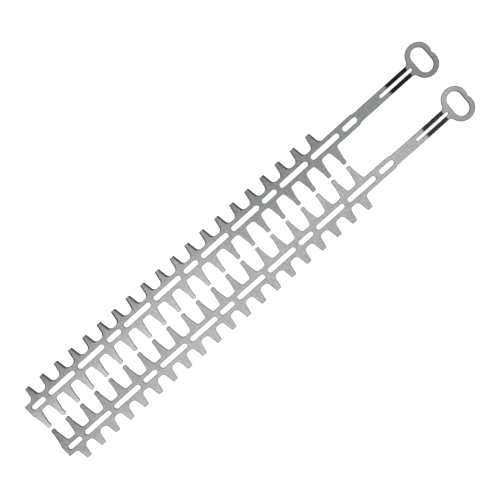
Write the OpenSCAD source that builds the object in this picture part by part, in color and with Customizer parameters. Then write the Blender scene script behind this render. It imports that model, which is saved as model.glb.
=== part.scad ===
// A pair of hedge trimmer blades, laid side by side.
// Each blade is one stamped steel sheet: a slotted bar with short ground teeth on one side
// and long blunt teeth on the other, then a narrow neck and a drive eye.
// The second blade is the same part turned over about its length.

/* [Sheet] */
// Thickness of the steel sheet
sheet_t = 2.5; // [1.5:0.1:3]
// How far the drive eye is stepped out of the plane of the bar
step_h = 2.5; // [0.5:0.1:3]

/* [Bar] */
// Distance from the slot axis to the root of the short teeth
short_root_y = 10.2; // [9:0.1:12]
// Distance from the slot axis to the root of the long teeth
long_root_y = 10.6; // [9:0.1:12]
// Bare length of bar behind the middle of the last tooth
bare_len = 52; // [30:1:90]

/* [Teeth] */
// Spacing of the teeth along the bar
pitch = 30; // [28:0.5:36]
// Number of long teeth, one more than the short ones
long_count = 21; // [9:1:26]
// Distance from the end of the bar to the middle of the first long tooth
first_tooth_x = 8.4; // [8:0.1:10]
// Height of a short tooth above its root
short_h = 19.9; // [14:0.1:26]
// Width of a short tooth at its square tip
short_tip_w = 8.4; // [6:0.1:10]
// Width of a short tooth at its root
short_base_w = 15; // [12:0.1:16]
// Corner radius between a short tooth and the bar
short_gullet_r = 6.4; // [3:0.1:6.8]
// Height of a long tooth above its root
long_h = 28.3; // [20:0.1:36]
// Width of a long tooth at its tip
long_tip_w = 7.2; // [5.6:0.1:9]
// Length of the straight part at the end of a long tooth
long_tip_len = 9; // [4:0.5:12]
// Width of a long tooth at its root
long_base_w = 14.4; // [12:0.1:15]
// Corner radius between a long tooth and the bar
long_gullet_r = 4.3; // [2:0.1:6]
// Corner radius at the tip of a long tooth
long_tip_r = 2.7; // [1:0.1:2.75]
// How far below the root the slanted corner at the end of the bar starts
corner_drop = 1.4; // [0.4:0.1:3]
// How far above the root the slanted corner meets the first long tooth
corner_rise = 2; // [0.5:0.1:4]

/* [Ground edges] */
// Width of the ground bevel on the flanks of the short teeth
bevel_w = 2.7; // [1:0.1:3.6]
// Height of the square land left under the bevel
bevel_land = 0.3; // [0.1:0.05:0.8]
// Radius in which the bevel runs out at the gullet
bevel_end_r = 2.2; // [1.2:0.1:4]

/* [Slots] */
// Spacing of the short slots that the bolts pass through
bolt_spacing = 157.5; // [140:0.5:180]
// Distance from the end of the bar to the middle of the first bolt slot
first_slot_x = 20.5; // [18:0.1:25]
// Length of a bolt slot from end to end
bolt_slot_len = 27.2; // [20:0.1:32]
// Width of all slots in the bar
slot_w = 8.2; // [6:0.1:10]
// Web of metal left between two slots
slot_web = 7.8; // [5:0.1:12]

/* [Neck] */
// Width of the neck
neck_w = 17.3; // [14:0.1:18]
// Length of the slope from the bar down to the neck, on the side of the short teeth
short_shoulder_len = 3; // [2:0.1:8]
// Length of the same slope on the side of the long teeth
long_shoulder_len = 6; // [2:0.1:8]
// Distance from the end of the bar to the middle of the drive eye
neck_len = 127.6; // [115:0.1:150]
// Length of the neck slot from end to end
neck_slot_len = 61.5; // [40:0.5:64]
// Width of the neck slot
neck_slot_w = 4.8; // [3:0.1:7]
// Web of metal left between the neck slot and the window of the eye
neck_web = 6.8; // [5:0.1:14]
// Length of the stepped stretch of the neck
step_len = 38; // [24:1:44]

/* [Drive eye] */
// Width of the window along the blade, a running fit on the drive cam
window_w = 23.7; // [18:0.1:28]
// Length of the window across the blade
window_l = 39.8; // [34:0.1:46]
// Width of the band of metal round the window
eye_band = 7.7; // [6:0.1:12]
// Radius of the hollow corner between the neck and the eye
eye_gullet_r = 7; // [3:0.1:10]
// Radius of the small notch in the end of the eye
notch_r = 4.6; // [2:0.1:6]
// Depth of the notch
notch_d = 1.8; // [1:0.1:3]
// Radius that eases the lips of the notch
notch_lip_r = 6; // [0.5:0.1:7]

/* [Laid out] */
// Gap between the facing tips of the long teeth
tip_gap = 4.8; // [1:0.1:40]
// How far the turned-over blade lies nearer to the tip end
lay_shift = 0.9; // [0:0.1:5]

/* [Hidden] */
$fn = 64;
clear = 1;
// Rounds that run into a straight edge are this much larger, so that the two join cleanly
seam = 0.004;
short_count = long_count - 1;
short_first_x = first_tooth_x + pitch / 2;
short_last_x = short_first_x + (short_count - 1) * pitch;
short_tip_y = short_root_y + short_h;
long_last_x = first_tooth_x + (long_count - 1) * pitch;
long_tip_y = long_root_y + long_h;
bar_len = long_last_x + bare_len;
bolt_count = 1 + floor((bar_len - first_slot_x) / bolt_spacing);
long_slot_len = (bolt_spacing - bolt_slot_len - 3 * slot_web) / 2;
eye_x = bar_len + neck_len;
eye_r = window_w / 2 + eye_band;
eye_arm = (window_l - window_w) / 2;
blade_len = eye_x + eye_r;
neck_slot_end = eye_x - window_w / 2 - neck_web;
step_parts = 16;
blade_gap = 2 * long_tip_y + tip_gap;
rest_tilt = atan(step_h / neck_slot_end);

// Outline of one tooth flank, from its corner on the bar outwards, as seen from the gap
short_flank = [[(short_base_w - short_tip_w) / 2, short_h]];
long_flank = [
    [(long_base_w - long_tip_w) / 2, long_h - long_tip_len],
    [(long_base_w - long_tip_w) / 2, long_h]
];

// Angle by which a flank leans away from square
function lean(flank) = atan2(flank[0].x, flank[0].y);

// Length from the corner of a gap to either end of its arc
function corner_run(flank, r) = r * tan((90 - lean(flank)) / 2);

// Right side of a gap between teeth, whose corner on the bar is at x
function gap_side(x, flank, r) = let (run = corner_run(flank, r)) concat(
    [[x - run, 0], [x + run * sin(lean(flank)), run * cos(lean(flank))]],
    [for (p = flank) [x + p.x, p.y]]
);

// The same points in the opposite order, mirrored to the left side
function mirrored(points) = [for (i = [len(points) - 1 : -1 : 0]) [-points[i].x, points[i].y]];

// A slot with round ends, centred, along X
module slot(len, w) {
    square([len - w, w], center = true);
    for (end = [-1, 1]) translate([end * (len - w) / 2, 0]) circle(d = w);
}

// The gap between two teeth, its bottom on the X axis
module tooth_gap(half_w, flank, r) {
    side = gap_side(half_w, flank, r);
    polygon(concat(mirrored(side), side));
    for (end = [-1, 1]) translate([end * (half_w - corner_run(flank, r)), r]) circle(r + seam);
}

// The open side of the last tooth in a row, whose corner is at the origin
module open_gap(flank, r, length) {
    side = gap_side(0, flank, r);
    polygon(concat([[-length, flank[len(flank) - 1].y], [-length, 0]], side));
    translate([-corner_run(flank, r), r]) circle(r + seam);
}

// All gaps of a row whose teeth point along +Y
module gap_row(first_x, count, base_w, flank, r) {
    for (i = [0.5 : 1 : count - 1.5])
        translate([first_x + i * pitch, 0]) tooth_gap((pitch - base_w) / 2, flank, r);
    translate([first_x + (count - 1) * pitch + base_w / 2, 0])
        mirror([1, 0]) open_gap(flank, r, bare_len + pitch);
}

// Square tips of the short teeth stay as cut, long teeth get these rounded ends
module long_tip() {
    for (side = [-1, 1])
        translate([side * (long_tip_w / 2 - long_tip_r), 0]) circle(long_tip_r + seam);
    square([long_tip_w - 2 * long_tip_r, 2 * long_tip_r], center = true);
}

// Slanted corner where the end of the bar runs into the first long tooth
module end_corner() {
    flank = [for (p = long_flank) [first_tooth_x - long_base_w / 2 + p.x, p.y]];
    rise_x = flank[0].x - (flank[0].y - corner_rise) * tan(lean(long_flank));
    polygon(concat(
        [[-clear, long_h], [-clear, -corner_drop], [0, -corner_drop], [rise_x, corner_rise]],
        flank
    ));
}

// The toothed bar: a strip with rounded tips added, from which the gaps are cut
module bar_outline() {
    difference() {
        union() {
            translate([0, long_tip_r - long_tip_y])
                square([bar_len, long_tip_y - long_tip_r + short_tip_y]);
            for (i = [0 : long_count - 1])
                translate([first_tooth_x + i * pitch, long_tip_r - long_tip_y]) long_tip();
        }
        translate([0, short_root_y]) {
            gap_row(short_first_x, short_count, short_base_w, short_flank, short_gullet_r);
            translate([short_first_x - short_base_w / 2, 0])
                open_gap(short_flank, short_gullet_r, short_first_x);
        }
        translate([0, -long_root_y]) mirror([0, 1]) {
            gap_row(first_tooth_x, long_count, long_base_w, long_flank, long_gullet_r);
            end_corner();
        }
    }
}

// Short slots for the bolts, with two long slots between each pair
module bar_slots() {
    long_step = (bolt_slot_len + long_slot_len) / 2 + slot_web;
    for (i = [0 : bolt_count - 1]) translate([first_slot_x + i * bolt_spacing, 0]) {
        slot(bolt_slot_len, slot_w);
        if (i < bolt_count - 1) for (x = [long_step, bolt_spacing - long_step])
            translate([x, 0]) slot(long_slot_len, slot_w);
    }
}

// The neck and its two shoulders
module neck_outline() {
    polygon([
        [bar_len, short_root_y], [bar_len + short_shoulder_len, neck_w / 2], [eye_x, neck_w / 2],
        [eye_x, -neck_w / 2], [bar_len + long_shoulder_len, -neck_w / 2], [bar_len, -long_root_y]
    ]);
}

// Hollow corner between the neck and the round of the eye, measured from the eye's middle
module eye_gullet() {
    y = neck_w / 2 + eye_gullet_r;
    x = -sqrt(pow(eye_r + eye_gullet_r, 2) - pow(y - eye_arm, 2));
    difference() {
        polygon([[x, 0], [x, y], [0, eye_arm], [0, 0]]);
        translate([x, y]) circle(eye_gullet_r + seam);
    }
}

// Small round notch in the end of the eye, with eased lips, measured from that end
module notch() {
    bite_x = notch_r - notch_d;
    mouth_x = bite_x + clear;
    lip_y = sqrt(pow(notch_r + notch_lip_r, 2) - pow(bite_x + notch_lip_r, 2));
    translate([bite_x, 0]) circle(notch_r);
    difference() {
        polygon([
            [bite_x, 0], [-notch_lip_r, lip_y], [mouth_x, lip_y],
            [mouth_x, -lip_y], [-notch_lip_r, -lip_y]
        ]);
        for (side = [-1, 1])
            translate([-notch_lip_r, side * lip_y]) circle(notch_lip_r + seam);
    }
}

// The neck and the drive eye with their openings
module neck_plan() {
    difference() {
        union() {
            neck_outline();
            translate([eye_x, 0]) {
                rotate(90) slot(2 * (eye_arm + eye_r), 2 * eye_r);
                for (side = [0, 1]) mirror([0, side]) eye_gullet();
            }
        }
        translate([neck_slot_end - neck_slot_len / 2, 0]) slot(neck_slot_len, neck_slot_w);
        translate([eye_x, 0]) rotate(90) slot(window_l, window_w);
        translate([blade_len, 0]) notch();
    }
}

// Height of the stepped stretch, from 0 at the bar side to the full step at the eye side
function step_at(part) = step_h * (1 - cos(180 * part)) / 2;

// Side view of the sheet behind the bar, with the step pressed into it
module side_profile() {
    step = [for (i = [0 : step_parts])
        [neck_slot_end - step_len * (1 - i / step_parts), step_at(i / step_parts)]];
    far = blade_len + clear;
    polygon(concat(
        [[bar_len, 0]], step, [[far, step_h], [far, step_h + sheet_t]],
        [for (i = [step_parts : -1 : 0]) [step[i].x, step[i].y + sheet_t]],
        [[bar_len, sheet_t]]
    ));
}

// What the grinding wheel takes off a flank that runs along +Y with its tooth on the -X side.
// Round the gullet the bevel turns away on a short radius and fades out.
module bevel_cut(length) {
    slope = bevel_w / (sheet_t - bevel_land);
    section = [
        [-bevel_w - slope * clear, sheet_t + clear],
        [clear, sheet_t + clear],
        [clear, bevel_land - clear / slope]
    ];
    translate([0, length, 0]) rotate([90, 0, 0]) linear_extrude(length) polygon(section);
    translate([bevel_end_r, 0, 0]) rotate(180) rotate_extrude(angle = 120)
        polygon([for (p = section) [bevel_end_r - p.x, p.y]]);
}

// Both ground flanks of every short tooth, cut from the outer face
module short_tooth_bevels() {
    flank_lean = lean(short_flank);
    run = corner_run(short_flank, short_gullet_r);
    for (i = [0 : short_count - 1], side = [0, 1])
        translate([short_first_x + i * pitch, short_root_y, 0]) mirror([side, 0, 0])
            translate([short_base_w / 2, 0, 0]) rotate(flank_lean) translate([0, run, 0])
                bevel_cut(short_h / cos(flank_lean) - run + clear);
}

// One blade, its end at X = 0, its mating face on Z = 0 and its outer face up
module blade() {
    difference() {
        union() {
            linear_extrude(sheet_t) bar_outline();
            intersection() {
                linear_extrude(step_h + sheet_t) neck_plan();
                rotate([90, 0, 0]) linear_extrude(4 * eye_r, center = true) side_profile();
            }
        }
        translate([0, 0, -clear]) linear_extrude(sheet_t + 2 * clear) bar_slots();
        short_tooth_bevels();
    }
}

// Outer face up, lying flat on its bar
module upper_blade() {
    color([0.62, 0.62, 0.62])
        translate([(lay_shift - blade_len) / 2, blade_gap / 2, 0]) blade();
}

// Turned over, resting on its tip end and on the eye that is now stepped down
module lower_blade() {
    color([0.68, 0.68, 0.68])
        translate([-(lay_shift + blade_len) / 2, -blade_gap / 2, 0])
            rotate([0, -rest_tilt, 0]) translate([0, 0, sheet_t]) rotate([180, 0, 0]) blade();
}

upper_blade();
lower_blade();
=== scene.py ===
from math import radians

import bmesh
import bpy
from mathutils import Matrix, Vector

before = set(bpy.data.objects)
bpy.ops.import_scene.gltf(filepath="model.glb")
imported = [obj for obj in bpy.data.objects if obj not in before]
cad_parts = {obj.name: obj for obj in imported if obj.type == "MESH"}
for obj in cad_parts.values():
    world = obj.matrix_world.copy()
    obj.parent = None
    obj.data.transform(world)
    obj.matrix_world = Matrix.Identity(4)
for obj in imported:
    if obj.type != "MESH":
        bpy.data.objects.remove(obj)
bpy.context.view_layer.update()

# The camera that stood over the blades: the photograph's width and focal length in pixels, its
# place in metres and its turn in degrees
photo_px = 500
focal_px = 704.0
sensor_width = 36.0
camera_place = (0.09478, 0.07341, 1.04521)
camera_turn = (-5.8357, 0.6015, -41.9167)

# Measures on a blade are in millimetres: along it from the tip end at 0 to the far side of the
# drive eye, and across it from the centre line, above 0 towards the short teeth.
mm_per_metre = 1000
blade_len = 807.55
short_root = 10.2

# The drive window: its middle along the blade, the radius of its round ends, how far from the
# centre line those ends have their centres, and where the eye round it takes over from the neck
window_middle = 788.0
window_radius = 11.85
window_reach = 8.05
eye_begins = (763.0, 773.0)

# What tells one blade from the other.
# place and turn bring the frame's metres onto the blade's own lines.
# tone_places, lit_tones and shade_falls say how bright the ground steel looks, on a scale where 255
# is white, with its own tone and its painted reflection and shade together: places along the blade,
# the tone there on its centre line, and how much painted shade darkens each millimetre towards the
# short teeth.
# The two tints are the steel's colour at the tip end and at the eye, and tint_change is where it
# goes from one to the other.
# streaks, grain and rim_shade are how strongly the coarse grinding streaks, the fine grain and the
# painted shade on the rolled rims show, and wall is the grey of the punched walls.
# scale_ends are where the black scale starts and ends, and scale_grey is its grey.
blades = {
    "upper_blade": {
        "place": (0.403325, -0.0413, 0.0),
        "turn": (1, 1, 1),
        "tone_places": (8, 280, 338, 458, 520, 700, 800),
        "lit_tones": (158, 175, 175, 149, 143, 145, 141),
        "shade_falls": (1.20, 0.72, 0.56, 0.46, 0.32, 0.05, -0.2),
        "tip_tint": (0.981, 1.0, 1.002),
        "eye_tint": (0.955, 1.0, 1.021),
        "tint_change": (280, 500),
        "streaks": 14,
        "grain": 70,
        "rim_shade": 0.74,
        "wall": 0.026,
        "scale_ends": (724.2, 763.0),
        "scale_grey": 0.008,
    },
    "lower_blade": {
        "place": (0.404225, -0.0413, 0.0),
        "turn": (1, -1, 1),
        "tone_places": (8, 68, 278, 518, 690, 772, 800),
        "lit_tones": (153, 168, 181, 174, 180, 169, 157),
        "shade_falls": (-0.64, -0.56, -0.36, 0.13, 0.05, 0.45, 0.3),
        "tip_tint": (0.980, 1.0, 1.003),
        "eye_tint": (0.980, 1.0, 0.991),
        "tint_change": (60, 260),
        "streaks": 48,
        "grain": 88,
        "rim_shade": 0.88,
        "wall": 0.046,
        "scale_ends": (724.2, 762.8),
        "scale_grey": 0.032,
    },
}

# The marks in each surface, as noises: how many to the metre along, across and up, how many finer
# layers, and how strong each finer layer is
marks = {
    "grinding lines": ((2600, 90, 2600), 3.0, 0.6),
    "grinding streaks": ((480, 60, 480), 3.0, 0.6),
    "grain": ((620, 620, 620), 1.0, 0.5),
    "soft patches": ((26, 26, 26), 2.0, 0.5),
    "ragged scale": ((420, 420, 420), 3.0, 0.6),
    "bevel lines": ((900, 200, 2600), 2.0, 0.6),
    "punch lines": ((2200, 2200, 120), 2.0, 0.6),
    "floor mottle": ((60, 60, 60), 2.0, 0.5),
}
noise_middle = 0.5

# Ground faces: the tone of white, the screen's gamma, how deep the fine lines and the soft patches
# are in tone, and how much of the coarse marks the eye lacks
white_tone = 255
screen_gamma = 2.2
line_depth = 26
patch_depth = 12
eye_calm = 0.5

# How level a face is, from 0 on a punched wall to 1 on the flat: where the walls give way to the
# bevels and the bevels to the flat. Bevels fade out over a few millimetres at the teeth's roots.
wall_level = (0.30, 0.60)
bevel_level = (0.93, 0.97)
bevel_fade = 3

# Wheel-cut bevels: their grey and the depth of its lines. Those that face the tip end are darker
# from one stretch along the blade to the other.
bevel_grey = 0.16
bevel_line_depth = 0.06
faces_tip_end = (-0.15, -0.05)
darkening_from = (20, 150)
darkening_until = (200, 320)
darkening_depth = 0.85

# The painted shade line beside the drive window, widening the dark wall there: how wide it is in
# millimetres, how far round the window from its middle it comes in, and how dark it is
shade_line_width = (0.3, 1.1)
shade_line_side = (0.1, 0.7)
shade_line_depth = 0.6

# Rims: the radii in metres at which edges look rounded and at which painted shade darkens them, how
# far the face has turned where that shows, and how much more painted shade they get at the eye
bevel_samples = 6
edge_radius = 0.0008
rim_radius = 0.0018
rim_turn = (0.02, 0.13)
eye_rim_shade_extra = 0.12

# Punched walls: their grey at the eye, darker there as painted shade on the window walls, and the
# depth of the punch's lines
shaded_eye_wall = 0.012
punch_line_depth = 0.016

# Black scale: how far its ragged edge wanders, how soft its two ends are, both in millimetres, and
# how much its grey varies
ragged_reach = 2.4
scale_start_soft = 2.5
scale_end_soft = 0.5
scale_depth = 0.012
scale_tint = (0.97, 1.0, 1.06)

# The room low down: how much darker than white it is at least, how much more beyond the eye end,
# between which directions that comes in, and at which heights the dark clears
room_dim = 0.12
room_dark = 0.60
dark_turn = (0.10, 0.80)
dark_clears = (0.10, 0.95)

# The floor, in metres: its size, how far under the blades it lies, and where it fades into the
# room. Then its grey, how much that varies, and the glow that makes it white to the eye.
floor_radius = 40.0
floor_sides = 96
floor_drop = 0.0001
floor_fade = (0.9, 4.0)
floor_grey = 0.90
mottle_depth = 0.02
floor_glow = 0.55

# The soft box: its place and width in metres, and its power in watts
lamp_place = (-1.6, 0.5, 0.8)
lamp_width = 0.9
lamp_power = 3.0


class Flow:
    """One value on its way through a shader."""

    def __init__(self, bench, socket):
        self.bench, self.socket = bench, socket

    def work(self, operation, *values):
        settings = {"operation": operation}
        return self.bench.add("ShaderNodeMath", settings, dict(enumerate(values)))

    def __add__(self, other):
        return self.work("ADD", self, other)

    __radd__ = __add__

    def __sub__(self, other):
        return self.work("SUBTRACT", self, other)

    def __rsub__(self, other):
        return self.work("SUBTRACT", other, self)

    def __mul__(self, other):
        return self.work("MULTIPLY", self, other)

    __rmul__ = __mul__

    def __truediv__(self, other):
        return self.work("DIVIDE", self, other)

    def __rtruediv__(self, other):
        return self.work("DIVIDE", other, self)

    def __pow__(self, other):
        return self.work("POWER", self, other)

    def __rpow__(self, other):
        return self.work("POWER", other, self)

    def __abs__(self):
        return self.work("ABSOLUTE", self)

    def at_least(self, least):
        return self.work("MAXIMUM", self, least)

    def ramp(self, low, high):
        """0 up to low, 1 from high on, with a soft rise between them."""
        settings = {"interpolation_type": "SMOOTHSTEP"}
        return self.bench.add(
            "ShaderNodeMapRange", settings, {"Value": self, "From Min": low, "From Max": high})

    def swing(self, depth):
        """A noise turned into a change of this depth about 0."""
        return (self - noise_middle) * depth


class Bench:
    """The node tree of one material or of the world, emptied and ready for work."""

    def __init__(self, holder):
        holder.use_nodes = True
        self.tree = holder.node_tree
        self.tree.nodes.clear()

    def add(self, kind, settings=None, sockets=None, output=0):
        """A new node: its settings are made first, then its sockets are set or linked."""
        node = self.tree.nodes.new(kind)
        for name, value in (settings or {}).items():
            if name == "stops":
                stops = node.color_ramp.elements
                while len(stops) < len(value):
                    stops.new(1.0)
                for stop, (place, grey) in zip(stops, value):
                    stop.position, stop.color = place, (grey, grey, grey, 1)
            else:
                setattr(node, name, value)
        for name, value in (sockets or {}).items():
            if isinstance(value, Flow):
                self.tree.links.new(value.socket, node.inputs[name])
            else:
                node.inputs[name].default_value = value
        return Flow(self, node.outputs[output]) if node.outputs else None

    def split(self, vector):
        """The three parts of a vector, along the frame's X, Y and Z."""
        return [self.add("ShaderNodeSeparateXYZ", None, {"Vector": vector}, axis) for axis in "XYZ"]

    def line_through(self, places, heights, along):
        """A line through the given heights at the given places along the blade."""
        low, high = min(heights), max(heights)
        stops = [(p / blade_len, (h - low) / (high - low)) for p, h in zip(places, heights)]
        shade = self.add("ShaderNodeValToRGB", {"stops": stops}, {"Fac": along / blade_len})
        return shade * (high - low) + low

    def mark(self, name, spot):
        """One of the marks in a surface, read at a spot in metres."""
        spread, layers, layer_strength = marks[name]
        spread_out = self.add("ShaderNodeMapping", None, {"Vector": spot, "Scale": spread})
        return self.add("ShaderNodeTexNoise", {"noise_dimensions": "3D"}, {
            "Vector": spread_out, "Scale": 1.0, "Detail": layers, "Roughness": layer_strength})

    def grey_colour(self, grey):
        return self.add("ShaderNodeCombineXYZ", None, {"X": grey, "Y": grey, "Z": grey})

    def tinted(self, grey, tint):
        settings = {"operation": "MULTIPLY"}
        return self.add("ShaderNodeVectorMath", settings, {0: self.grey_colour(grey), 1: tint})

    def tint_between(self, share, first, second):
        """The first tint where share is 0, the second where it is 1."""
        # a Mix node has its two vectors at 4 and 5, and gives out the vector at 1
        return self.add("ShaderNodeMix", {"data_type": "VECTOR"}, {
            "Factor": share, 4: first, 5: second}, 1)

    def rounded_normal(self, radius):
        """The way the surface would face with its edges rounded to this radius."""
        settings = {"samples": bevel_samples}
        return self.add("ShaderNodeBevel", settings, {"Radius": radius}, "Normal")

    def mix_shader(self, share, first, second):
        return self.add("ShaderNodeMixShader", None, {0: share, 1: first, 2: second})


def window_edge_shade(along, across):
    """Painted shade: a thin dark line along the far side of the drive window, widening its dark
    wall.
    """
    past_middle = along - window_middle
    past_reach = (abs(across) - window_reach).at_least(0.0)
    from_window = (past_middle * past_middle + past_reach * past_reach) ** 0.5 - window_radius
    far_side = (past_middle / window_radius).ramp(*shade_line_side)
    return (1 - from_window.ramp(*shade_line_width)) * far_side


def darkened_bevels(along, facing_eye_end):
    """The darker bevels, on the side of the teeth that faces the tip end, over one stretch of the
    blade.
    """
    darkened_side = 1 - facing_eye_end.ramp(*faces_tip_end)
    return darkened_side * along.ramp(*darkening_from) * (1 - along.ramp(*darkening_until))


def black_scale(along, ragged, ends):
    """The black scale that the grinding wheel left where the step dips under it."""
    start, end = ends
    edge = ragged.swing(ragged_reach)
    begun = (along + edge).ramp(start - scale_start_soft, start + scale_start_soft)
    ended = (along + edge * 0.5).ramp(end - scale_end_soft, end + scale_end_soft)
    return begun * (1 - ended)


def blade_steel(node):
    """Ground steel with dark punched walls, grey wheel-cut bevels and black scale on the step."""
    look = blades[node]
    steel = bpy.data.materials.new("ground steel, " + node.replace("_", " "))
    b = Bench(steel)
    spot = b.add("ShaderNodeTexCoord", None, None, "Object")
    lined = b.add("ShaderNodeMapping", None, {
        "Vector": spot, "Location": look["place"], "Scale": look["turn"]})
    along, across = [side * mm_per_metre for side in b.split(lined)[:2]]
    normal = b.add("ShaderNodeNewGeometry", None, None, "True Normal")
    facing_eye_end, _, facing_up = b.split(normal)
    rounded, rolled = b.rounded_normal(edge_radius), b.rounded_normal(rim_radius)
    lines, ragged = b.mark("grinding lines", spot), b.mark("ragged scale", spot)

    # which part of the blade this is
    level = abs(facing_up)
    wall = 1 - level.ramp(*wall_level)
    near_teeth = across.ramp(short_root - bevel_fade, short_root)
    bevel = (1 - level.ramp(*bevel_level)) * (1 - wall) * near_teeth
    by_the_eye = along.ramp(*eye_begins)

    # the ground face, with the wheel's lines across the blade
    # painted light: the tone curves paint the steel's reflection along the blade, and the shade
    # towards the short teeth, into its colour along with its own tone
    tone, fall = [
        b.line_through(look["tone_places"], look[row], along) for row in ("lit_tones", "shade_falls")]
    streaks = b.mark("grinding streaks", spot).swing(look["streaks"])
    coarse = streaks + b.mark("grain", spot).swing(look["grain"])
    tone = tone - fall * across + lines.swing(line_depth) + coarse * (1 - by_the_eye * eye_calm)
    tone = tone + b.mark("soft patches", spot).swing(patch_depth)
    face = (tone / white_tone) ** screen_gamma
    # painted shade: a dark line on the face beside the drive window's far wall
    face = face * (1 - window_edge_shade(along, across) * shade_line_depth)

    # the wheel's cut on both flanks of each short tooth
    cut = bevel_grey + b.mark("bevel lines", lined).swing(bevel_line_depth)
    cut = cut * (1 - darkened_bevels(along, facing_eye_end) * darkening_depth)
    grey = face * (1 - bevel) + cut * bevel

    # punched rims roll over a little; painted shade darkens them in the colour, standing in for the
    # dark reflection off their rounded edge
    turned = b.add(
        "ShaderNodeVectorMath", {"operation": "DOT_PRODUCT"}, {0: rolled, 1: normal}, "Value")
    rim_shade = (1 - turned).ramp(*rim_turn) * (look["rim_shade"] + by_the_eye * eye_rim_shade_extra)
    tint = b.tint_between(along.ramp(*look["tint_change"]), look["tip_tint"], look["eye_tint"])
    line_bump = b.add("ShaderNodeBump", None, {
        "Strength": 0.35, "Distance": 0.00002, "Height": lines, "Normal": rounded}, "Normal")
    ground = b.add("ShaderNodeBsdfPrincipled", None, {
        "Base Color": b.tinted(grey * (1 - rim_shade), tint), "Metallic": 1.0,
        "Roughness": 0.36 + lines.swing(0.16), "Normal": line_bump})

    # punched edges: dull and dark, with no shine even where they are seen almost edge on
    # painted shade: the punched walls turn darker at the eye
    wall_grey = look["wall"] + by_the_eye * (shaded_eye_wall - look["wall"])
    wall_grey = wall_grey + b.mark("punch lines", lined).swing(punch_line_depth)
    punched = b.add("ShaderNodeBsdfPrincipled", None, {
        "Base Color": b.grey_colour(wall_grey), "Roughness": 0.7, "Specular IOR Level": 0.05})
    bare = b.mix_shader(wall, ground, punched)

    scale_grey = look["scale_grey"] + ragged.swing(scale_depth)
    scale_bump = b.add("ShaderNodeBump", None, {
        "Strength": 0.5, "Distance": 0.00004, "Height": ragged, "Normal": rounded}, "Normal")
    scale = b.add("ShaderNodeBsdfPrincipled", None, {
        "Base Color": b.tinted(scale_grey, scale_tint), "Roughness": 0.55 + ragged.swing(0.2),
        "Specular IOR Level": 0.12, "Normal": scale_bump})
    finished = b.mix_shader(black_scale(along, ragged, look["scale_ends"]), bare, scale)
    b.add("ShaderNodeOutputMaterial", None, {"Surface": finished})
    return steel


def room_shade(towards_eye_end):
    """How much darker than white the room is low down, darkest beyond the eye end."""
    return room_dim + room_dark * towards_eye_end.ramp(*dark_turn)


def white_floor():
    """A wide white floor that keeps the shadow under the blades and fades into the room far off."""
    form = bmesh.new()
    bmesh.ops.create_circle(form, cap_ends=True, segments=floor_sides, radius=floor_radius)
    bmesh.ops.translate(form, verts=form.verts, vec=(0, 0, -floor_drop))
    mesh = bpy.data.meshes.new("floor")
    form.to_mesh(mesh)
    form.free()
    floor = bpy.data.objects.new("floor", mesh)
    bpy.context.scene.collection.objects.link(floor)

    paint = bpy.data.materials.new("white floor")
    b = Bench(paint)
    spot = b.add("ShaderNodeTexCoord", None, None, "Object")
    white = floor_grey + b.mark("floor mottle", spot).swing(mottle_depth)
    matt = b.add("ShaderNodeBsdfDiffuse", None, {"Color": b.grey_colour(white)})
    seen, mirrored, through = [
        b.add("ShaderNodeLightPath", None, None, ray)
        for ray in ("Is Camera Ray", "Is Glossy Ray", "Is Transmission Ray")]
    glow_strength = (seen + mirrored + through) * floor_glow
    glow = b.add("ShaderNodeEmission", None, {"Strength": glow_strength})
    near = b.add("ShaderNodeAddShader", None, {0: matt, 1: glow})

    distance = b.add("ShaderNodeVectorMath", {"operation": "LENGTH"}, {0: spot}, "Value")
    room = 1 - room_shade(b.split(spot)[0] / distance)
    far = b.add("ShaderNodeEmission", None, {"Color": b.grey_colour(room)})
    faded = b.mix_shader(distance.ramp(*floor_fade), near, far)
    b.add("ShaderNodeOutputMaterial", None, {"Surface": faded})
    floor.data.materials.append(paint)


def studio_light():
    """A pale room that is darker low down at the eye end, and one soft box low at the tip end."""
    world = bpy.data.worlds.new("pale studio")
    bpy.context.scene.world = world
    b = Bench(world)
    towards_eye_end, _, up = b.split(b.add("ShaderNodeTexCoord", None, None, "Generated"))
    light = 1 - (1 - up.ramp(*dark_clears)) * room_shade(towards_eye_end)
    room = b.add("ShaderNodeBackground", None, {"Color": (1, 1, 1, 1), "Strength": light})
    b.add("ShaderNodeOutputWorld", None, {"Surface": room})

    lamp = bpy.data.lights.new("soft box", "AREA")
    lamp.shape, lamp.size, lamp.energy = "DISK", lamp_width, lamp_power
    box = bpy.data.objects.new("soft box", lamp)
    box.location = lamp_place
    box.rotation_euler = Vector(lamp_place).to_track_quat("Z", "Y").to_euler()
    bpy.context.scene.collection.objects.link(box)


def photo_camera():
    lens = bpy.data.cameras.new("camera")
    lens.sensor_width, lens.lens = sensor_width, sensor_width * focal_px / photo_px
    camera = bpy.data.objects.new("camera", lens)
    camera.location = camera_place
    camera.rotation_euler = [radians(turn) for turn in camera_turn]
    bpy.context.scene.collection.objects.link(camera)
    bpy.context.scene.camera = camera


photo_camera()
white_floor()
studio_light()
bpy.context.scene.view_settings.view_transform = "Standard"
for node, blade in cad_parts.items():
    blade.data.materials.clear()
    blade.data.materials.append(blade_steel(node))
